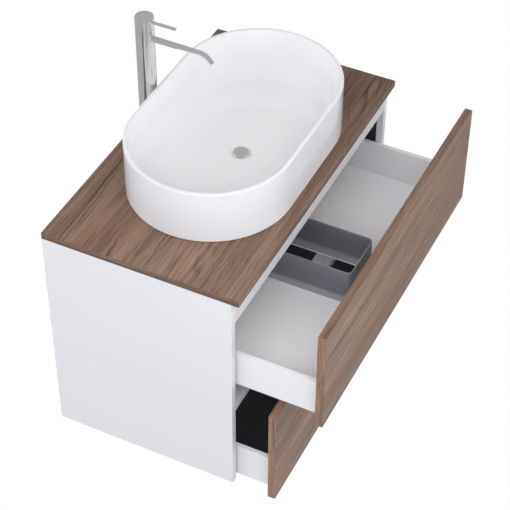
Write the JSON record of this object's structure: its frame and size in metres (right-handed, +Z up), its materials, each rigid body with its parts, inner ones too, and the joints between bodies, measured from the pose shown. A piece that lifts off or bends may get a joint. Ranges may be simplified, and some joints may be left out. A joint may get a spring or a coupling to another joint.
{
  "type": "wall-hung bathroom vanity",
  "caption": "Wall-hung bathroom vanity: walnut worktop and drawer fronts on a white cabinet, stadium vessel basin, tall lever tap and drawers on runners.",
  "frame": {"origin": "on the wall plane, at the middle of the wall-screw pattern in the hanging plates", "axes": "+X to the right as seen from the front, +Y towards the wall, +Z up; the fronts face -Y and the wall is the plane Y = 0"},
  "size_m": [0.8, 0.646, 0.87],
  "materials": {
    "walnut": "satin walnut-grain board, grain along the width",
    "white_board": "matt white melamine-faced board",
    "white_steel": "fine-textured white powder coat",
    "anthracite_plastic": "matt anthracite moulded plastic",
    "ceramic": "white gloss glaze",
    "chrome": "polished chrome plate",
    "brass": "plain turned brass",
    "white_plastic": "white moulded plastic",
    "rubber": "black rubber",
    "beech": "plain beech",
    "zinc_cast": "zinc die casting and zinc-plated steel",
    "zinc_steel": "zinc-plated sheet steel"
  },
  "bodies": {
    "cabinet": {"side_panel_left": "white_board", "side_panel_right": "white_board", "top_front_rail": "white_board", "mid_front_rail": "white_board", "top_rear_rail": "white_board", "bottom_rear_rail": "white_board", "wood_dowels": "beech", "worktop": "walnut", "basin": "ceramic", "waste_body": "chrome", "waste_gasket": "rubber", "waste_nut": "brass", "tailpiece_nut": "white_plastic", "tailpiece": "white_plastic", "trap_body": "white_plastic", "trap_cup": "white_plastic", "trap_outlet_nut": "white_plastic", "trap_outlet_pipe": "white_plastic", "tap_column": "chrome", "tap_base_gasket": "rubber", "tap_shank": "brass", "tap_clamp_washer": "zinc_steel", "tap_shank_nut": "brass", "tap_inlets": "brass", "tap_cartridge": "white_plastic", "tap_spout": "chrome", "tap_aerator": "white_plastic", "hanger_left": "zinc_cast", "hanger_right": "zinc_cast", "wall_plate_left": "zinc_steel", "wall_plate_right": "zinc_steel", "upper_runner_rail_left": "zinc_steel", "upper_runner_rail_right": "zinc_steel", "lower_runner_rail_left": "zinc_steel", "lower_runner_rail_right": "zinc_steel", "runner_screws": "zinc_cast", "bumper_pads": "white_plastic"},
    "upper_drawer": {"upper_front": "walnut", "upper_side_left": "white_steel", "upper_side_right": "white_steel", "upper_base": "white_board", "upper_back_left": "white_board", "upper_back_right": "white_board", "siphon_surround": "anthracite_plastic", "upper_front_brackets": "zinc_cast", "upper_runner_carriers": "zinc_steel"},
    "lower_drawer": {"lower_front": "walnut", "lower_side_left": "white_steel", "lower_side_right": "white_steel", "lower_base": "white_board", "lower_back": "white_board", "lower_front_brackets": "zinc_cast", "lower_runner_carriers": "zinc_steel"},
    "upper_slides": {"upper_runner_slides": "zinc_steel"},
    "lower_slides": {"lower_runner_slides": "zinc_steel"},
    "tap_handle": {"tap_cartridge_stem": "brass", "tap_cap": "chrome", "tap_lever": "chrome"},
    "plug": {"waste_plug": "chrome", "waste_plug_seal": "rubber"}
  },
  "joints": [
    {"name": "upper_drawer_slide", "type": "slide", "parent": "cabinet", "child": "upper_drawer", "axis": [0, -1, 0], "range_m": [-0.188, 0.152]},
    {"name": "lower_drawer_slide", "type": "slide", "parent": "cabinet", "child": "lower_drawer", "axis": [0, -1, 0], "range_m": [-0.084, 0.256]},
    {"name": "upper_runner_travel", "type": "slide", "parent": "cabinet", "child": "upper_slides", "axis": [0, -1, 0], "range_m": [-0.094, 0.076]},
    {"name": "lower_runner_travel", "type": "slide", "parent": "cabinet", "child": "lower_slides", "axis": [0, -1, 0], "range_m": [-0.042, 0.128]},
    {"name": "tap_turn", "type": "hinge", "parent": "cabinet", "child": "tap_handle", "pos_m": [0, -0.036, 0.34], "axis": [0, 0, 1], "range_deg": [0, 110]},
    {"name": "plug_lift", "type": "slide", "parent": "cabinet", "child": "plug", "axis": [0, 0, 1], "range_m": [0, 0.008]}
  ],
  "couplings": [
    {"joint": "upper_runner_travel", "follows": "upper_drawer_slide", "ratio": 0.5},
    {"joint": "lower_runner_travel", "follows": "lower_drawer_slide", "ratio": 0.5}
  ]
}
